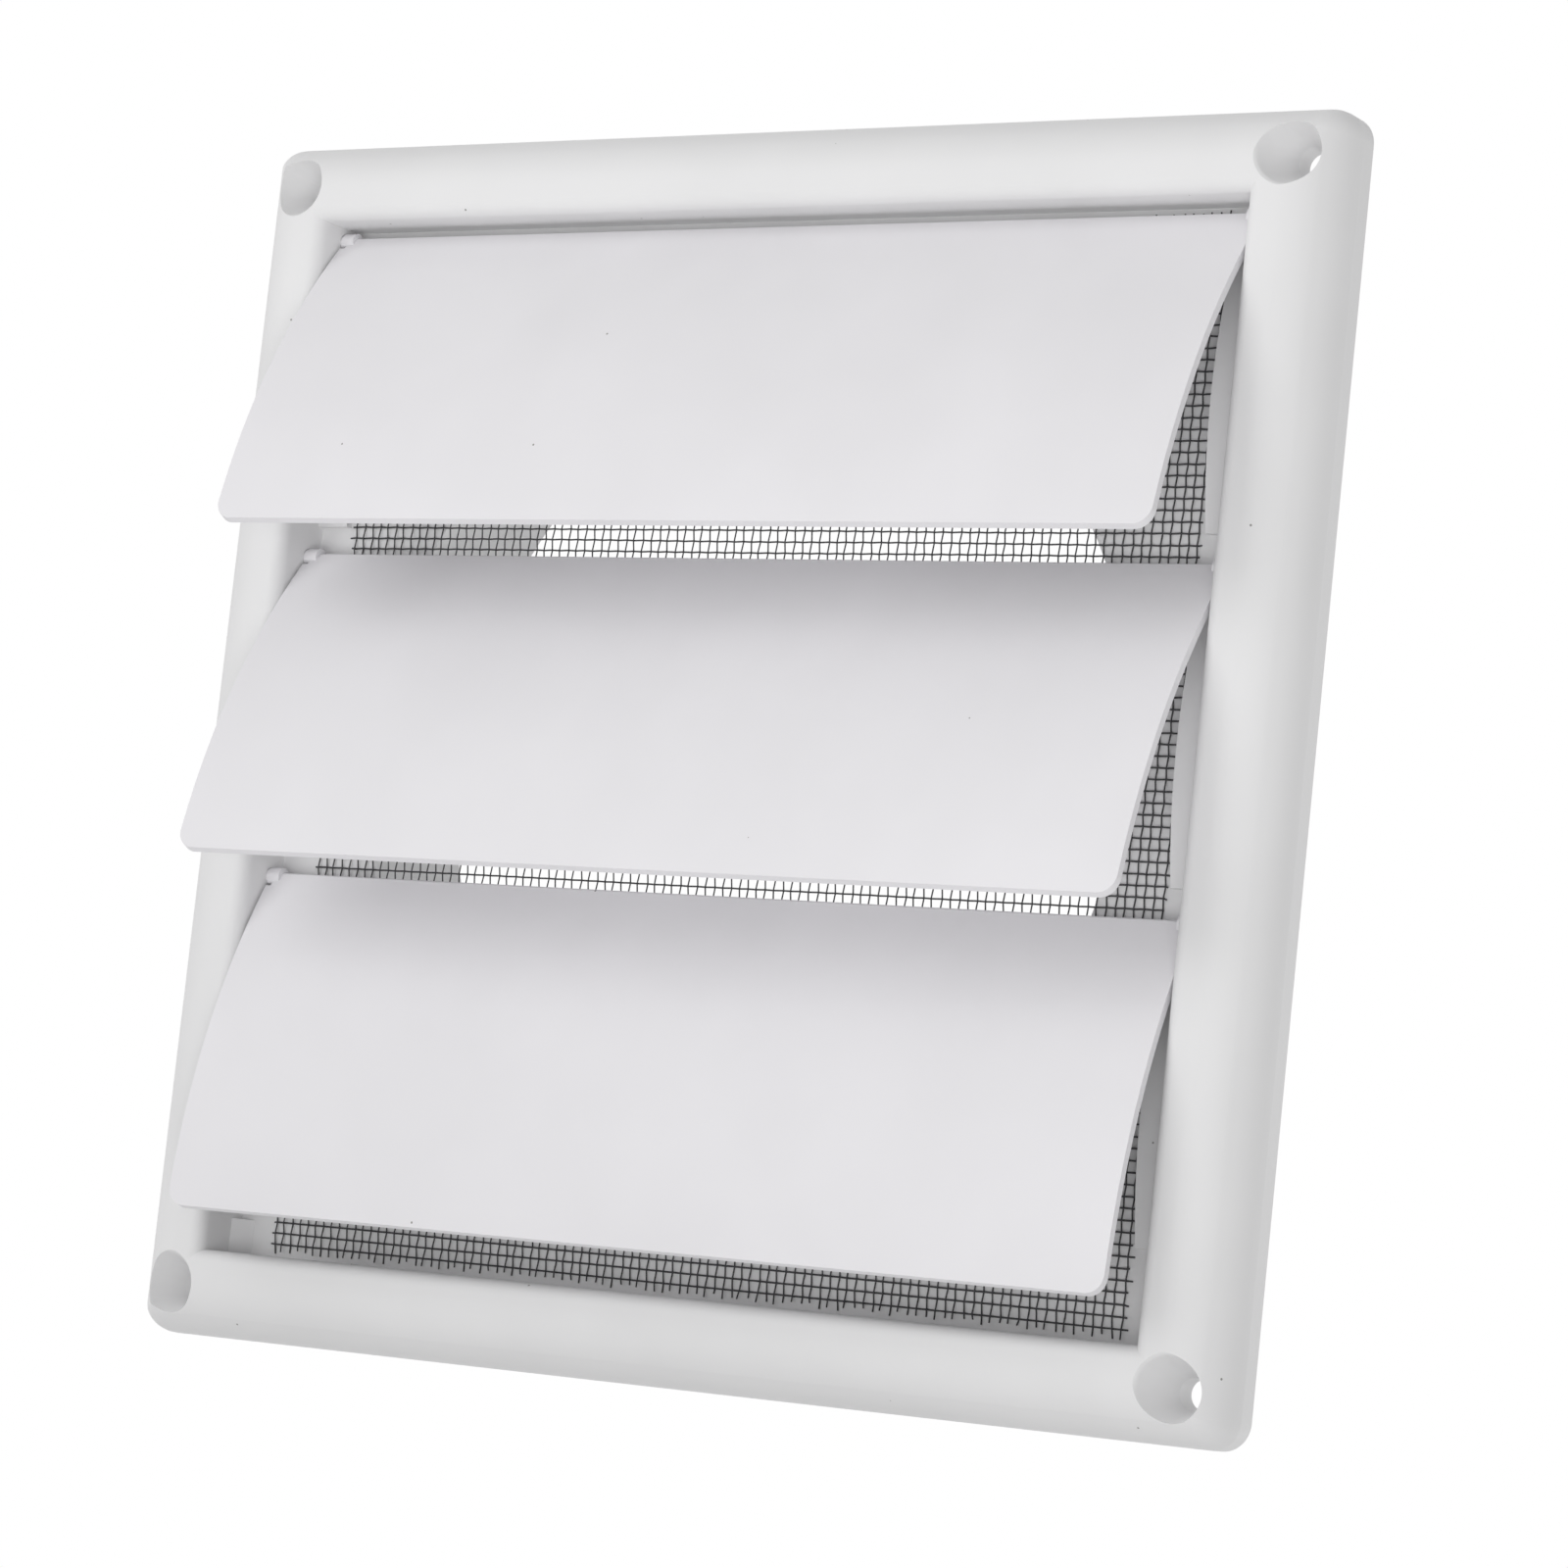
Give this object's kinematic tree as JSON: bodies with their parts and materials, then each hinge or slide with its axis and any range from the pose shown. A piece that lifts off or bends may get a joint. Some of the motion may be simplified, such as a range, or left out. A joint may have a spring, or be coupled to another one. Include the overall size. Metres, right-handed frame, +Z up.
{
  "type": "louvred air outlet vent",
  "caption": "Square moulded exhaust vent cover with rounded rails, curved gravity flaps on pins, an insect screen and a round duct collar behind.",
  "frame": {"origin": "centre of the square frame on the plane that lies against the wall", "axes": "+Y into the wall along the duct, front faces -Y, +Z up, +X to the right seen from the front"},
  "size_m": [0.178, 0.0484, 0.178],
  "materials": {
    "housing_plastic": "satin moulded white",
    "flap_plastic": "satin moulded white",
    "screen_strands": "matt black coated yarn"
  },
  "bodies": {
    "housing": {"frame": "housing_plastic", "insect_screen": "screen_strands"},
    "top_flap": {"top_flap": "flap_plastic"},
    "middle_flap": {"middle_flap": "flap_plastic"},
    "bottom_flap": {"bottom_flap": "flap_plastic"}
  },
  "joints": [
    {"name": "top_flap_hinge", "type": "hinge", "parent": "housing", "child": "top_flap", "pos_m": [0, -0.0047, 0.0744], "axis": [-1, 0, 0], "range_deg": [-16.5, 48.5]},
    {"name": "middle_flap_hinge", "type": "hinge", "parent": "housing", "child": "middle_flap", "pos_m": [0, -0.0047, 0.02665], "axis": [-1, 0, 0], "range_deg": [-16, 21.5]},
    {"name": "bottom_flap_hinge", "type": "hinge", "parent": "housing", "child": "bottom_flap", "pos_m": [0, -0.0047, -0.0211], "axis": [-1, 0, 0], "range_deg": [-12, 30.5]}
  ]
}
